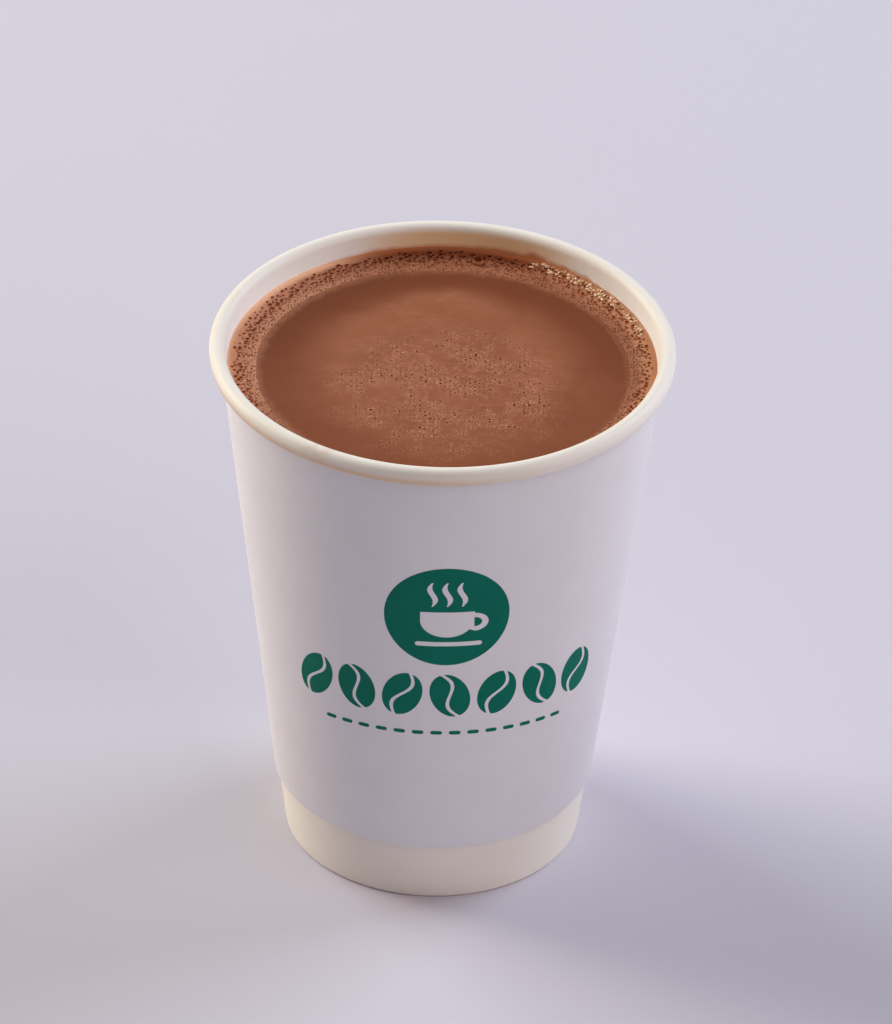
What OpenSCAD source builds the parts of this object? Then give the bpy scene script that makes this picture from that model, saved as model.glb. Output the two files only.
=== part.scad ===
// Hot chocolate in a double-wall paper cup.
// The cup stands on the z = 0 plane with its axis on Z. The side that carries
// the print faces -Y, and the glued lap of the outer sleeve is at the back, +Y.
// Every cone in the cup runs parallel to the side wall, so each piece takes its
// place from wall_r() and its distance from the wall's outer face.

/* [Cup] */
// Outer diameter of the rolled rim
rim_d = 90; // [80:0.5:108]
// Outer diameter of the foot
base_d = 58; // [48:0.5:70]
// Height from the table to the top of the rim
cup_h = 111; // [85:0.5:140]
// Thickness of the inner cup's paper
cup_paper = 0.4; // [0.3:0.05:0.6]

/* [Rolled rim] */
// Width of the roll, from its inner side to its outer side
roll_w = 3.1; // [2.4:0.1:4]
// Length of the roll's straight sides, between its round top and bottom
roll_flat = 0.7; // [0.3:0.1:2]
// Part of the circle left open where the curl comes back to the wall, in degrees
curl_opening = 45; // [20:1:80]

/* [Base] */
// Height of the underside of the bottom disc above the table
disc_lift = 6.5; // [4:0.5:12]
// Thickness of the bottom disc's paper
disc_paper = 0.4; // [0.3:0.05:0.6]
// Gap between the top of the turned-in hem and the bottom disc
hem_gap = 0.8; // [0.4:0.1:2]
// Glue line between the wall, the disc's skirt and the hem
glue_gap = 0.05; // [0.02:0.01:0.1]

/* [Outer sleeve] */
// Height of the sleeve's lower edge above the table
sleeve_lift = 13.7; // [8:0.1:25]
// Thickness of the sleeve's paper
sleeve_paper = 0.4; // [0.3:0.05:0.6]
// Air gap between the inner cup and the sleeve
air_gap = 0.3; // [0.1:0.05:1.2]
// Gap between the sleeve's upper edge and the rolled rim
tuck_gap = 0.15; // [0.1:0.05:0.5]
// Width of the glued lap at the back
lap_w = 9; // [5:0.5:14]
// Height of the step at the lap's edge
lap_step = 0.35; // [0.2:0.05:0.5]
// Width of the half-height strip where the lap's other side eases down
lap_ease_w = 2; // [1:0.5:4]

/* [Drink] */
// Distance from the top of the rim down to the drink's level
fill_drop = 5.7; // [5.5:0.1:30]
// Clearance between the drink and the paper
drink_gap = 0.05; // [0.02:0.01:0.1]

/* [Froth] */
// Mean width of the ring of froth along the wall
froth_w = 5.7; // [3:0.1:12]
// How far the clear middle of the drink lies towards the front
froth_shift = 1.4; // [0:0.1:2.5]
// Unevenness of the froth's inner edge
froth_wave = 0.4; // [0:0.05:0.8]
// Height of the froth above the drink's level, at the wall
froth_h = 0.7; // [0.4:0.05:1.2]
// Thickness of the froth at its inner edge
froth_edge = 0.15; // [0.1:0.05:0.3]
// Height of the ripples on the froth
froth_ripple = 0.06; // [0:0.01:0.08]
// How steeply the froth falls away from the wall: 1 is a straight slope
froth_fall = 1.6; // [1:0.1:3]
// Steps round the ring of froth
froth_steps = 180; // [90:10:240]

/* [Hidden] */
$fn = 180;

// The roll's section is a stadium that leans with the wall: an upper and a lower
// circle, joined by straight sides
rim_r = rim_d / 2;
base_r = base_d / 2;
roll_r = roll_w / 2;
roll_hollow_r = roll_r - cup_paper;
roll_top_r = rim_r - roll_r;
roll_top_z = cup_h - roll_r;

// The wall's outer face runs from the foot's edge and touches the circle inside
// the curl, which gives its lean from the vertical
foot_to_roll = norm([roll_top_r - base_r, roll_top_z]);
wall_lean = atan2(roll_top_r - base_r, roll_top_z) - asin(roll_hollow_r / foot_to_roll);
wall_slope = tan(wall_lean);
roll_low_r = roll_top_r - roll_flat * sin(wall_lean);
roll_low_z = roll_top_z - roll_flat * cos(wall_lean);

// The wall's section ends halfway along the roll's straight inner side
wall_top_z = (roll_low_z + roll_top_z) / 2 + roll_r * sin(wall_lean);

// Layers of the foot, as distances in from the wall's outer face
skirt_out = cup_paper + glue_gap;
skirt_in = skirt_out + disc_paper;
hem_out = skirt_in + glue_gap;
hem_in = hem_out + cup_paper;
hem_top = disc_lift - hem_gap;
skirt_low = cup_paper + glue_gap;
disc_top = disc_lift + disc_paper;

// Sleeve faces, as distances out from the wall's outer face
sleeve_in = air_gap;
sleeve_out = air_gap + sleeve_paper;
sleeve_top = roll_low_z - roll_r - tuck_gap;

// Angles at the axis that the lap and its ease take up, measured at the lower edge.
// The cutters that leave the lap standing run a little past the sleeve's edges
mm_to_angle = 180 / PI / outside(sleeve_lift, sleeve_out)[0];
lap_angle = lap_w * mm_to_angle;
lap_ease_angle = lap_ease_w * mm_to_angle;
lap_start = 90 - lap_angle / 2;
trim_over = 1;

// Drink and froth
drink_low = disc_top + glue_gap;
level = cup_h - fill_drop;
drink_in = cup_paper + drink_gap;
froth_out_r = inside(level, drink_in)[0];
froth_in_r = froth_out_r - froth_w;
froth_bands = 6;

// Radius of the side wall's outer face at height z
function wall_r(z) = base_r + wall_slope * z;

// A point of a profile at height z, a distance in from the wall's outer face
function inside(z, depth) = [wall_r(z) - depth / cos(wall_lean), z];

// A point of a profile at height z, a distance out from the wall's outer face
function outside(z, depth) = [wall_r(z) + depth / cos(wall_lean), z];

// A stadium: the outline of the roll's section, or of the space inside it
module roll_outline(r) {
    circle(r);
    translate([-r, 0]) square([2 * r, roll_flat]);
    translate([0, roll_flat]) circle(r);
}

// The missing part of the curl, between the curl's end and the wall
module curl_opening_wedge() {
    reach = 2 * roll_w;
    polygon([
        [0, 0],
        [-reach, 0],
        [-reach * cos(curl_opening), -reach * sin(curl_opening)]
    ]);
}

// Section of the rolled rim, a curl of paper that is open at its lower inner side
module curl_section() {
    translate([roll_low_r, roll_low_z]) rotate(-wall_lean)
        difference() {
            roll_outline(roll_r);
            roll_outline(roll_hollow_r);
            curl_opening_wedge();
        }
}

// Section of the side wall, with the fold and the hem at the foot
module wall_section() {
    polygon([
        inside(0, 0),
        inside(wall_top_z, 0),
        inside(wall_top_z, cup_paper),
        inside(cup_paper, cup_paper),
        inside(cup_paper, hem_out),
        inside(hem_top, hem_out),
        inside(hem_top, hem_in),
        inside(0, hem_in)
    ]);
}

// The inner cup: one sheet from the hem, up the side and over into the rim
module inner_cup() {
    color("ivory") rotate_extrude() {
        wall_section();
        curl_section();
    }
}

// The bottom disc with its skirt, which is glued between the wall and the hem
module bottom_disc() {
    color("linen") rotate_extrude()
        polygon([
            [0, disc_lift],
            inside(disc_lift, skirt_in),
            inside(skirt_low, skirt_in),
            inside(skirt_low, skirt_out),
            inside(disc_top, skirt_out),
            [0, disc_top]
        ]);
}

// Section between two distances out from the wall, from one height to another
module band_section(depth_in, depth_out, low, high) {
    polygon([
        outside(low, depth_in),
        outside(low, depth_out),
        outside(high, depth_out),
        outside(high, depth_in)
    ]);
}

// A cutter that brings the sleeve down to a height over its paper, from the lap's
// edge and on round the cup
module lap_trim(angle, height) {
    rotate(lap_start + lap_angle) rotate_extrude(angle = angle)
        band_section(sleeve_out + height, rim_r, sleeve_lift - trim_over, sleeve_top + trim_over);
}

// The outer sleeve, a second wall that hangs under the rim and ends above the foot.
// It is thicker where it laps over itself at the back
module outer_sleeve() {
    color("white") difference() {
        rotate_extrude()
            band_section(sleeve_in, sleeve_out + lap_step, sleeve_lift, sleeve_top);
        lap_trim(360 - lap_angle, lap_step / 2);
        lap_trim(360 - lap_angle - lap_ease_angle, 0);
    }
}

// The hot chocolate, from the bottom disc up to its level
module drink() {
    color("saddlebrown") rotate_extrude()
        polygon([
            [0, drink_low],
            inside(drink_low, drink_in),
            inside(level, drink_in),
            [0, level]
        ]);
}

// Radius of the froth's inner edge at an angle from +X: a circle moved towards
// the front, with a few slow waves
function froth_edge_r(a) =
    froth_in_r - froth_shift * sin(a)
    + froth_wave * (0.55 * sin(3 * a + 40) + 0.3 * sin(7 * a - 20) + 0.15 * sin(13 * a + 75));

// Height of the froth at the wall, which varies by about a tenth round the cup
function froth_wall_h(a) = froth_h * (1 + 0.08 * sin(2 * a + 30) + 0.05 * sin(9 * a));

// Height across the froth: u is 0 at the wall and 1 at the inner edge
function froth_top(a, u) =
    froth_edge + (froth_wall_h(a) - froth_edge) * pow(1 - u, froth_fall)
    + froth_ripple * sin(180 * u) * sin(17 * a + 200 * u);

// One section of the froth at an angle: its foot at the wall, its top across to
// the inner edge, and its foot there
function froth_section(a) = concat(
    [[froth_out_r, level]],
    [for (i = [0:froth_bands])
        let (
            u = i / froth_bands,
            z = level + froth_top(a, u),
            wall_side = inside(z, drink_in)[0]
        )
        [wall_side + (froth_edge_r(a) - wall_side) * u, z]],
    [[froth_edge_r(a), level]]
);

// The froth, a ring of bubbles that lies on the drink along the wall
module froth() {
    ring = froth_bands + 3;
    points = [for (s = [0:froth_steps - 1])
        let (a = 360 * s / froth_steps)
        for (p = froth_section(a)) [p[0] * cos(a), p[0] * sin(a), p[1]]];
    faces = [for (s = [0:froth_steps - 1])
        for (i = [0:ring - 1])
            let (
                t = (s + 1) % froth_steps,
                j = (i + 1) % ring,
                p = s * ring + i,
                q = t * ring + i,
                r = t * ring + j,
                v = s * ring + j
            )
            for (f = [[p, r, q], [p, v, r]]) f];
    color("burlywood") polyhedron(points, faces);
}

inner_cup();
bottom_disc();
outer_sleeve();
drink();
froth();
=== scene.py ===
# %% [markdown]
# # Hot chocolate in a double-wall paper cup
# The cup is two cones of paper. The inner one holds the drink and is rolled into the rim,
# and the outer one is a sleeve that hangs under the rim and leaves a bare foot.
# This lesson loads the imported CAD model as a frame, and gives each visible piece its real
# surface: rolled paper, printed ink, the drink, and its ring of froth.

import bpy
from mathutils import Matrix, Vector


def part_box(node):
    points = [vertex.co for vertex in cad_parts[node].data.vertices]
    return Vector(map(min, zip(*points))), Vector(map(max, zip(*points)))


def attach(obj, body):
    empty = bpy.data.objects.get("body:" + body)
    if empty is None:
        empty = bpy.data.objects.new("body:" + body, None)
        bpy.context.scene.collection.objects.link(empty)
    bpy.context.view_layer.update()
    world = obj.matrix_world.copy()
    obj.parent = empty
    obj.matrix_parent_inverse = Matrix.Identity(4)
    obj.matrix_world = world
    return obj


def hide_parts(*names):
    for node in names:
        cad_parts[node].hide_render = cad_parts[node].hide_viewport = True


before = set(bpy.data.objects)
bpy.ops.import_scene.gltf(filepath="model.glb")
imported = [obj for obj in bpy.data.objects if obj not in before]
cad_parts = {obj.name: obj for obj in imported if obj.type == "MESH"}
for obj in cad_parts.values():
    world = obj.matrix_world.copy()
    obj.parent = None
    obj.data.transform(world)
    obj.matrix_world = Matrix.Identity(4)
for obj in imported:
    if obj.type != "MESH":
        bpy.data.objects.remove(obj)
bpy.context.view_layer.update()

# %% Modules
import math

import bmesh
import bpy
from mathutils import Matrix, Vector, geometry, noise

# %% [markdown]
# ## Sizes
# Heights and radii come from the boxes of the CAD pieces, so the pieces made here sit where
# the CAD model says. The thickness of the paper and the width of the roll can't be read
# from a box, so they are written out again. Everything is worked out in millimetres, the
# unit that a cup maker would use, and becomes metres only when a mesh is made.

# %% Sizes in millimetres
MM = 0.001
METRE = 1.0
BODY = "root"
rim_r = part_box("inner_cup")[1][0] / MM
cup_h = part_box("inner_cup")[1][2] / MM
sleeve_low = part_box("outer_sleeve")[0][2] / MM
sleeve_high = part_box("outer_sleeve")[1][2] / MM
drink_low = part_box("drink")[0][2] / MM
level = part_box("drink")[1][2] / MM
froth_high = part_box("froth")[1][2] / MM
foot_r = 29.0
paper = 0.4
roll_w = 3.1
roll_flat = 0.7
curl_opening = math.radians(45)
air_gap = 0.3
hem_out = 0.9
hem_top = 5.7
print(f"rim {2 * rim_r:.1f} mm wide, cup {cup_h:.1f} mm high, drink level at {level:.1f} mm")

# %% [markdown]
# The side wall leans outwards until its outer face touches the hollow inside the roll.
# Two small functions then give the radius at any height, a distance in from or out from
# that face. Every cone in the cup is placed with them.

# %% Lean of the wall
roll_r = roll_w / 2
roll_top = (rim_r - roll_r, cup_h - roll_r)
foot_to_roll = math.hypot(roll_top[0] - foot_r, roll_top[1])
lean = math.atan2(roll_top[0] - foot_r, roll_top[1]) - math.asin((roll_r - paper) / foot_to_roll)
roll_low = (
    roll_top[0] - roll_flat * math.sin(lean),
    roll_top[1] - roll_flat * math.cos(lean),
)


def inside(z, depth):
    """Radius at height z, a distance in from the wall's outer face."""
    return foot_r + math.tan(lean) * z - depth / math.cos(lean)


def outside(z, distance):
    """Radius at height z, a distance out from the wall's outer face."""
    return inside(z, -distance)


print(f"the wall leans {math.degrees(lean):.2f} degrees")

# %% [markdown]
# ## Node helpers
# Materials and patterns are trees of nodes. A few short helpers keep the script readable:
# one puts a node in a tree and fills its inputs, and the others are the sums, the blends
# and the soft steps that come up again and again.

# %% Helpers for node trees
def plug(tree, value, socket):
    """Wires an output to a socket, or sets the socket to a plain value."""
    if isinstance(value, bpy.types.NodeSocket):
        tree.links.new(value, socket)
    else:
        socket.default_value = value


def put(tree, kind, settings=None, **inputs):
    """Adds a node. An input's name is written with _ for each space."""
    made = tree.nodes.new(kind)
    for name, value in (settings or {}).items():
        setattr(made, name, value)
    for name, value in inputs.items():
        plug(tree, value, made.inputs[name.replace("_", " ")])
    return made


def calc(tree, operation, *values):
    """A Math node in a shader or geometry tree, and its result."""
    made = tree.nodes.new("ShaderNodeMath")
    made.operation = operation
    for place, value in enumerate(values):
        plug(tree, value, made.inputs[place])
    return made.outputs[0]


def soft_step(tree, value, low, high):
    """0 below low, 1 above high, and a smooth rise between them."""
    made = tree.nodes.new("ShaderNodeMapRange")
    made.interpolation_type = "SMOOTHSTEP"
    plug(tree, value, made.inputs["Value"])
    plug(tree, low, made.inputs["From Min"])
    plug(tree, high, made.inputs["From Max"])
    return made.outputs["Result"]


def times(tree, *factors):
    """The product of two or more values."""
    product = factors[0]
    for factor in factors[1:]:
        product = calc(tree, "MULTIPLY", product, factor)
    return product


def opposite(tree, mask):
    """1 where the mask is 0, and 0 where it is 1."""
    return calc(tree, "SUBTRACT", 1.0, mask)


def line(tree, value, slope, start):
    """A straight line: the start, plus the slope times the value."""
    return calc(tree, "MULTIPLY_ADD", value, slope, start)


def soft_fall(tree, value, low, high):
    """1 below low, 0 above high, and a smooth fall between them."""
    return opposite(tree, soft_step(tree, value, low, high))


def blend_colour(tree, mask, under, over, strength=1.0):
    """One colour over another, as far as the mask and the strength say."""
    made = tree.nodes.new("ShaderNodeMix")
    made.data_type = "RGBA"
    plug(tree, mask if strength == 1.0 else times(tree, mask, strength), made.inputs[0])
    plug(tree, under, made.inputs[6])
    plug(tree, over, made.inputs[7])
    return made.outputs[2]


def layer_colours(tree, colour, layers):
    """Lays colours over the first one in turn. A layer is a mask, a colour and a strength."""
    for mask, over, strength in layers:
        colour = blend_colour(tree, mask, colour, over, strength)
    return colour


def new_group(name, kind, inputs, outputs):
    """An empty node group with named sockets, and the two sets of sockets seen from inside it."""
    tree = bpy.data.node_groups.new(name, kind)
    for label, socket_kind, value in inputs:
        made = tree.interface.new_socket(label, in_out="INPUT", socket_type=socket_kind)
        if value is not None:
            made.default_value = value
    for label, socket_kind in outputs:
        tree.interface.new_socket(label, in_out="OUTPUT", socket_type=socket_kind)
    return tree, tree.nodes.new("NodeGroupInput").outputs, tree.nodes.new("NodeGroupOutput").inputs


def place_group(tree, group, **inputs):
    """A copy of a shader node group in a material, with its own values."""
    made = tree.nodes.new("ShaderNodeGroup")
    made.node_tree = group
    for name, value in inputs.items():
        plug(tree, value, made.inputs[name.replace("_", " ")])
    return made


def srgb(red, green, blue):
    """A colour given as it looks on a screen, 0 to 255, as the linear colour that nodes use."""
    def linear(part):
        part = part / 255
        return part / 12.92 if part <= 0.04045 else ((part + 0.055) / 1.055) ** 2.4
    return (linear(red), linear(green), linear(blue), 1.0)


# %% [markdown]
# Patterns are read from Object coordinates, which are the place on the piece itself, so
# they stay with it from every side. These helpers give that place, its parts, and the
# noise patterns that paper, cocoa and foam are all coloured with.

# %% Helpers for places and patterns
def object_place(tree):
    return put(tree, "ShaderNodeTexCoord").outputs["Object"]


def parts_of(tree, vector):
    """The X, Y and Z of a vector."""
    made = put(tree, "ShaderNodeSeparateXYZ", Vector=vector)
    return [made.outputs[axis] for axis in ("X", "Y", "Z")]


def from_axis(tree, x, y):
    """Distance from an upright axis, with x and y measured from it."""
    return calc(tree, "SQRT", calc(tree, "ADD", times(tree, x, x), times(tree, y, y)))


def cup_sides(tree):
    """How far right and how far back a point is: 0 on the axis, 1 at the wall by the drink."""
    x, y, _ = parts_of(tree, object_place(tree))
    wall_r = inside(level, paper) * MM
    return calc(tree, "DIVIDE", x, wall_r), calc(tree, "DIVIDE", y, wall_r)


def clouds(tree, size, detail, roughness=0.5, distortion=0.0, place=None):
    """A noise pattern of 0 to 1, whose patches are about size millimetres wide."""
    if place is None:
        place = object_place(tree)
    made = put(tree, "ShaderNodeTexNoise", Vector=place, Scale=METRE / (size * MM),
               Detail=detail, Roughness=roughness, Distortion=distortion)
    return made.outputs[0]


def stored_value(tree, name):
    """A number that the mesh keeps at each of its points."""
    return put(tree, "ShaderNodeAttribute", {"attribute_name": name}).outputs["Fac"]


# %% [markdown]
# ## Paper
# Cup board is pressed wood fibre with a thin skin of plastic or clay. Close up it has soft
# blotches where the fibre is denser, and a very fine tooth. Both the inner cup and the
# sleeve need that, so it is a node group, built once. It puts out two things: a tone to
# vary the colour with, and a height for a Bump node.

# %% Group: paper grain
paper_grain, grain_in, grain_out = new_group(
    "paper grain", "ShaderNodeTree",
    [("Blotch size", "NodeSocketFloat", 6 * MM), ("Fibre size", "NodeSocketFloat", 0.35 * MM)],
    [("Tone", "NodeSocketFloat"), ("Height", "NodeSocketFloat")],
)
grain_place = object_place(paper_grain)
blotch_scale = calc(paper_grain, "DIVIDE", METRE, grain_in["Blotch size"])
fibre_scale = calc(paper_grain, "DIVIDE", METRE, grain_in["Fibre size"])
blotches = put(paper_grain, "ShaderNodeTexNoise", Vector=grain_place, Scale=blotch_scale,
               Detail=4.0, Roughness=0.6)
fibres = put(paper_grain, "ShaderNodeTexNoise", Vector=grain_place, Scale=fibre_scale,
             Detail=3.0, Roughness=0.7, Distortion=1.5)
plug(paper_grain, soft_step(paper_grain, blotches.outputs[0], 0.3, 0.7), grain_out["Tone"])
plug(paper_grain, fibres.outputs[0], grain_out["Height"])


# %% A material with its shader
def new_finish(name, colour, roughness, gloss=0.5):
    """A material with a Principled shader whose plain values are set on its own sockets."""
    finish = bpy.data.materials.new(name)
    finish.use_nodes = True
    tree = finish.node_tree
    shader = tree.nodes["Principled BSDF"]
    shader.inputs["Base Color"].default_value = colour
    shader.inputs["Roughness"].default_value = roughness
    shader.inputs["Specular IOR Level"].default_value = gloss
    return finish, tree, shader


def add_bump(tree, shader, height, distance, strength=1.0):
    """Wires a height to the shader's normal. The distance is in millimetres."""
    bump = put(tree, "ShaderNodeBump", Height=height, Strength=strength, Distance=distance * MM)
    plug(tree, bump.outputs["Normal"], shader.inputs["Normal"])


# %% [markdown]
# The inner cup's paper is a warm ivory with a satin plastic skin. Inside, just over the
# froth, the cocoa has left a film: a tan line all round, which grows into a darker, uneven
# band at the back where the drink was poured. A mask is a number from 0 to 1 that says
# where an effect lies. The masks for the inner wall and for the film come from the
# height over the froth and from the side of the cup.

# %% Ivory board: where the inner wall and its film are
film_line = 0.55
film_grows = 0.9
film_fades = 1.5
ivory_finish, tree, shader = new_finish("ivory_board", srgb(248, 242, 232), 0.42, 0.35)
at_x, at_y, at_z = parts_of(tree, object_place(tree))
along_x, along_y = cup_sides(tree)
inner_line = line(tree, at_z, math.tan(lean), (foot_r - 0.2) * MM)
in_cup = calc(tree, "LESS_THAN", from_axis(tree, at_x, at_y), inner_line)
above_fill = calc(tree, "GREATER_THAN", at_z, (level - 5) * MM)
below_rim = soft_step(tree, calc(tree, "SUBTRACT", (cup_h - 0.5) * MM, at_z), 0.0, 1.4 * MM)
inner_wall = times(tree, below_rim, above_fill, in_cup)
backness = soft_step(tree, along_y, 0.78, 0.97)
right_back = times(tree, soft_step(tree, along_x, 0.1, 0.5), soft_step(tree, along_y, 0.5, 0.8))
film_top = line(tree, backness, film_grows * MM, film_line * MM)
film_top = line(tree, right_back, film_grows * MM, film_top)
film_rag = line(tree, right_back, 1.8 * MM, 1.0 * MM)
ragged = clouds(tree, 4.4, 2.0)
film_edge = line(tree, calc(tree, "SUBTRACT", ragged, 0.5), film_rag, film_top)
film_solid = calc(tree, "SUBTRACT", film_edge, film_fades * MM)
over_froth = calc(tree, "SUBTRACT", at_z, (froth_high - 0.05) * MM)
film_mask = times(tree, soft_fall(tree, over_froth, film_solid, film_edge), inner_wall)

# %% [markdown]
# Outside, a warm brown shade is painted on the board just under the roll, and a
# drop of cocoa has been wiped off the rim. Both are masks too, and then every colour is
# laid over the one before.

# %% Material: ivory board
smear_spot = Vector((-23.4, -37.2, cup_h - 1)) * MM
grain = place_group(tree, paper_grain)
from_smear = put(tree, "ShaderNodeVectorMath", {"operation": "DISTANCE"})
plug(tree, object_place(tree), from_smear.inputs[0])
from_smear.inputs[1].default_value = smear_spot
smear = times(tree, soft_step(tree, ragged, 0.3, 0.7),
              soft_fall(tree, from_smear.outputs["Value"], 1.5 * MM, 5.5 * MM))
# Painted warm shade on the outside just under the roll, fading out towards the right.
painted_shade_under_roll = times(
    tree,
    soft_fall(tree, at_z, (cup_h - 2.8) * MM, (cup_h - 1.0) * MM),
    calc(tree, "GREATER_THAN", at_z, cup_h / 2 * MM),
    opposite(tree, in_cup),
    soft_fall(tree, at_x, -6 * MM, 26 * MM),
)
# Painted shade and painted warm light reflected from the drink: the far inner wall is tinted tan.
shaded_side = times(tree, inner_wall, soft_step(tree, line(tree, along_x, 0.12, along_y), 0.82, 1.02))
film_back = calc(tree, "MAXIMUM", backness, times(tree, right_back, 0.8))
film_colour = blend_colour(tree, film_back, srgb(214, 160, 120), srgb(212, 134, 80))
plug(tree, layer_colours(tree, srgb(248, 242, 232), [
    (grain.outputs["Tone"], srgb(243, 236, 222), 0.25),
    (inner_wall, srgb(253, 253, 251), 1.0),
    (shaded_side, srgb(252, 216, 168), 1.0),
    (smear, srgb(214, 182, 146), 0.5),
    # painted warm shade under the roll
    (painted_shade_under_roll, srgb(230, 192, 152), 0.8),
    (film_mask, film_colour, 1.0),
]), shader.inputs["Base Color"])
add_bump(tree, shader, grain.outputs["Height"], 0.01)
print("ivory board:", len(tree.nodes), "nodes")


# %% Material: white board of the sleeve
def grained(tree, shader, grain, colour, other, strength):
    """Colours a board or an ink with its grain, and gives it the grain's fine tooth."""
    plug(tree, blend_colour(tree, grain.outputs["Tone"], colour, other, strength),
         shader.inputs["Base Color"])
    add_bump(tree, shader, grain.outputs["Height"], 0.012)


white_finish, tree, shader = new_finish("white_board", srgb(240, 238, 242), 0.55, 0.3)
grain = place_group(tree, paper_grain, Blotch_size=9 * MM, Fibre_size=0.3 * MM)
grained(tree, shader, grain, srgb(240, 238, 242), srgb(233, 229, 232), 0.3)

# %% [markdown]
# ## The inner cup
# The real cup is one sheet of board: its lower edge is turned in as a hem, it runs up the
# side, and a die curls its upper edge over into the rim. A section of it is a line with
# a thickness. So the script walks along the middle of the sheet, puts a point on each side
# of it, and turns that outline round the axis.

# %% Turn an outline into a mesh
def make_piece(name, points, faces, finish, sharp=35):
    """A mesh object at the origin, from points in millimetres, with smooth shading."""
    mesh = bpy.data.meshes.new(name)
    mesh.from_pydata([tuple(MM * part for part in point) for point in points], [], faces)
    work = bmesh.new()
    work.from_mesh(mesh)
    bmesh.ops.recalc_face_normals(work, faces=work.faces)
    work.to_mesh(mesh)
    work.free()
    mesh.shade_smooth()
    mesh.set_sharp_from_angle(angle=math.radians(sharp))
    mesh.materials.append(finish)
    piece = bpy.data.objects.new(name, mesh)
    bpy.context.scene.collection.objects.link(piece)
    return piece


def turn(angles, section_at):
    """Points and faces of a ring whose closed section may change with the angle."""
    points = []
    for angle in angles:
        for radius, height in section_at(angle):
            points.append((radius * math.cos(angle), radius * math.sin(angle), height))
    size = len(points) // len(angles)
    faces = []
    for turn_at in range(len(angles)):
        here = turn_at * size
        there = ((turn_at + 1) % len(angles)) * size
        for place in range(size):
            beyond = (place + 1) % size
            faces.append((here + place, there + place, there + beyond, here + beyond))
    return points, faces


def even_angles(steps):
    return [2 * math.pi * step / steps for step in range(steps)]


# %% A sheet's outline from its middle line
def sheet_outline(path, thickness, cap_steps=5):
    """The closed outline of a sheet that follows a path, with rounded ends."""
    half = thickness / 2
    left, right, normals = [], [], []
    for place, (x, y) in enumerate(path):
        before = path[max(place - 1, 0)]
        after = path[min(place + 1, len(path) - 1)]
        length = math.hypot(after[0] - before[0], after[1] - before[1])
        normal = (-(after[1] - before[1]) / length, (after[0] - before[0]) / length)
        normals.append(normal)
        left.append((x + half * normal[0], y + half * normal[1]))
        right.append((x - half * normal[0], y - half * normal[1]))

    def cap(centre, normal, sign):
        ends = []
        for step in range(1, cap_steps):
            swing = math.pi * step / cap_steps
            across = math.cos(swing) * sign
            ahead = math.sin(swing) * sign
            ends.append((
                centre[0] + half * (across * normal[0] + ahead * normal[1]),
                centre[1] + half * (across * normal[1] - ahead * normal[0]),
            ))
        return ends

    far_cap = cap(path[-1], normals[-1], 1)
    near_cap = cap(path[0], normals[0], -1)
    return left + far_cap + right[::-1] + near_cap


# %% The inner cup's middle line
def along_roll(across, up):
    """A point given from the roll's lower centre, on axes that lean with the wall."""
    return (
        roll_low[0] + across * math.cos(lean) + up * math.sin(lean),
        roll_low[1] - across * math.sin(lean) + up * math.cos(lean),
    )


def arc(start, stop, steps):
    return [start + (stop - start) * step / steps for step in range(steps + 1)]


fold_r = hem_out / 2
fold_depth = paper / 2 + fold_r
fold_z = paper / 2 + fold_r
curl_r = roll_r - paper / 2
cup_path = [(inside(z, hem_out + paper / 2), z) for z in arc(hem_top - 0.2, fold_z, 6)]
for swing in arc(0, math.pi, 10)[1:-1]:
    fold_at = fold_z - fold_r * math.sin(swing)
    cup_path.append((inside(fold_at, fold_depth + fold_r * math.cos(swing)), fold_at))
wall_end = along_roll(-curl_r, 0)
cup_path += [(inside(z, paper / 2), z) for z in arc(fold_z, wall_end[1], 40)]
cup_path += [along_roll(curl_r * math.cos(swing), roll_flat + curl_r * math.sin(swing))
             for swing in arc(math.pi, 0, 20)]
cup_path += [along_roll(curl_r * math.cos(swing), curl_r * math.sin(swing))
             for swing in arc(0, curl_opening - math.pi, 16)]
cup_section = sheet_outline(cup_path, paper)
cup_steps = 288
points, faces = turn(even_angles(cup_steps), lambda angle: cup_section)
inner_cup = make_piece("cup_inner_paper", points, faces, ivory_finish)
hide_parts("inner_cup")
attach(inner_cup, BODY)
print("inner cup:", len(faces), "faces")

# %% [markdown]
# The bottom disc keeps its CAD shape, because a flat disc with a skirt is just what it is.
# It gets the same ivory board.

# %% The bottom disc
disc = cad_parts["bottom_disc"]
for place in range(len(disc.material_slots)):
    disc.material_slots[place].material = ivory_finish

# %% [markdown]
# ## The sleeve
# The sleeve is a second sheet, glued into a cone. Its ends lap over each other at the back:
# on one side the upper sheet ends in a clean cut edge, and on the other it eases down on to
# the sheet below. Both long edges are rounded a little, as a die cut edge is.

# %% The sleeve
lap_w = 9.0
lap_step = 0.35
lap_ease_w = 2.0
edge_r = 0.12
edge_mid = 0.3 * edge_r
lap_turn = lap_w / outside(sleeve_low, air_gap + paper)
ease_turn = lap_ease_w / outside(sleeve_low, air_gap + paper)
lap_start = math.pi / 2 - lap_turn / 2
lap_end = math.pi / 2 + lap_turn / 2


def lap_height(angle):
    """How far the outer face stands over a single sheet at this angle."""
    if lap_start <= angle <= lap_end:
        return lap_step
    if lap_start - ease_turn < angle < lap_start:
        part = (angle - lap_start + ease_turn) / ease_turn
        return lap_step * part * part * (3 - 2 * part)
    return 0.0


def sleeve_section(angle):
    """The sleeve's outline at an angle, from points given as a height and a depth of paper."""
    thick = paper + lap_height(angle)
    corners = [
        (sleeve_low + edge_r, 0), (sleeve_low, edge_r), (sleeve_low, thick - edge_r),
        (sleeve_low + edge_mid, thick - edge_mid), (sleeve_low + edge_r, thick),
        (sleeve_high - edge_r, thick), (sleeve_high, thick - edge_r),
        (sleeve_high, edge_r), (sleeve_high - edge_r, 0),
    ]
    return [(outside(z, air_gap + depth), z) for z, depth in corners]


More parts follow.
